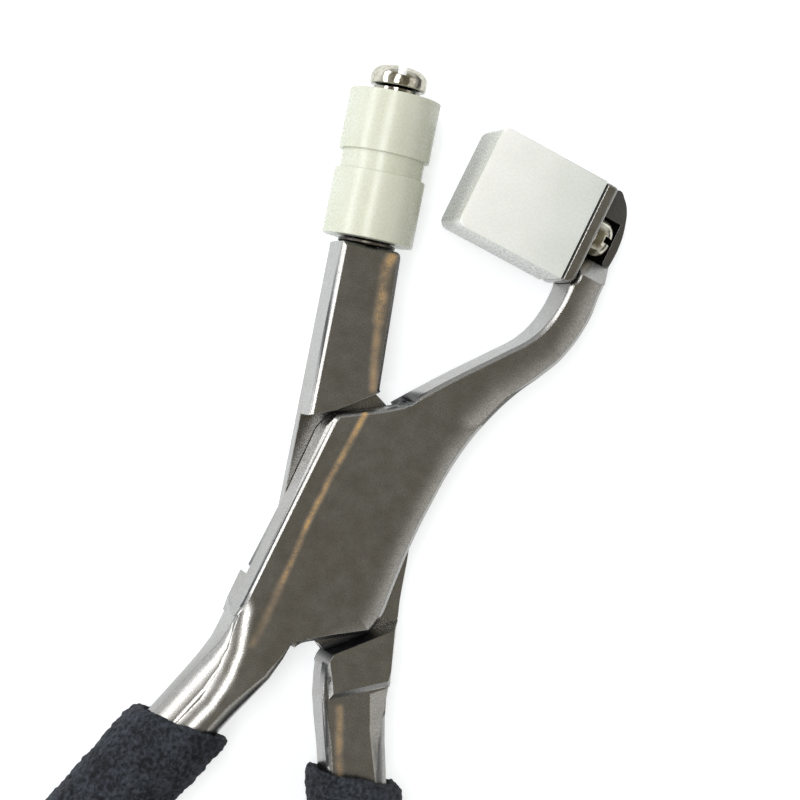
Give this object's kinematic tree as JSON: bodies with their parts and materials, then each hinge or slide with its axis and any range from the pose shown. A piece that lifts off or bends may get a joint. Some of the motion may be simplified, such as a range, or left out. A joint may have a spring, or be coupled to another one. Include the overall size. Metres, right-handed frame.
{
  "type": "optical pliers",
  "caption": "Hand pliers for spectacle frames: a grooved nylon roller on a straight jaw closes against a nylon block on an arched jaw, with foam-covered handles on a riveted lap joint.",
  "frame": {"origin": "on the pivot axis, at the flush rivet head in the flat back of the lap joint", "axes": "+Y along the tool towards the jaws, +Z out of the front face, +X to the arched jaw's side"},
  "size_m": [0.0654, 0.1485, 0.0108],
  "materials": {
    "straight_lever_steel": "satin stainless steel",
    "arm_lever_steel": "satin stainless steel",
    "rivet_steel": "satin stainless steel",
    "plate_steel": "satin stainless steel",
    "washer_steel": "bright steel",
    "bush_steel": "bright steel",
    "roller_screw_steel": "nickel plated",
    "pad_screw_steel": "nickel plated",
    "roller_nylon": "natural nylon, slightly translucent",
    "block_nylon": "natural nylon, slightly translucent",
    "arm_grip_foam": "pitted closed-cell foam",
    "straight_grip_foam": "pitted closed-cell foam"
  },
  "bodies": {
    "straight_half": {"straight_lever": "straight_lever_steel", "straight_grip": "straight_grip_foam", "thrust_washer": "washer_steel", "roller_bush": "bush_steel", "roller_screw": "roller_screw_steel"},
    "arm_half": {"arm_lever": "arm_lever_steel", "arm_grip": "arm_grip_foam", "pivot_rivet": "rivet_steel", "pad_plate": "plate_steel", "pad_block": "block_nylon", "pad_screw": "pad_screw_steel"},
    "roller": {"grooved_roller": "roller_nylon"}
  },
  "joints": [
    {"name": "arm_hinge", "type": "hinge", "parent": "straight_half", "child": "arm_half", "pos_m": [0, 0, 0.0036], "axis": [0, 0, 1], "range_deg": [-4, 5.3]},
    {"name": "roller_spin", "type": "hinge", "parent": "straight_half", "child": "roller", "pos_m": [-0.00785, 0.03105, 0.0036], "axis": [-0.1357, 0.9907, 0], "continuous": true}
  ]
}
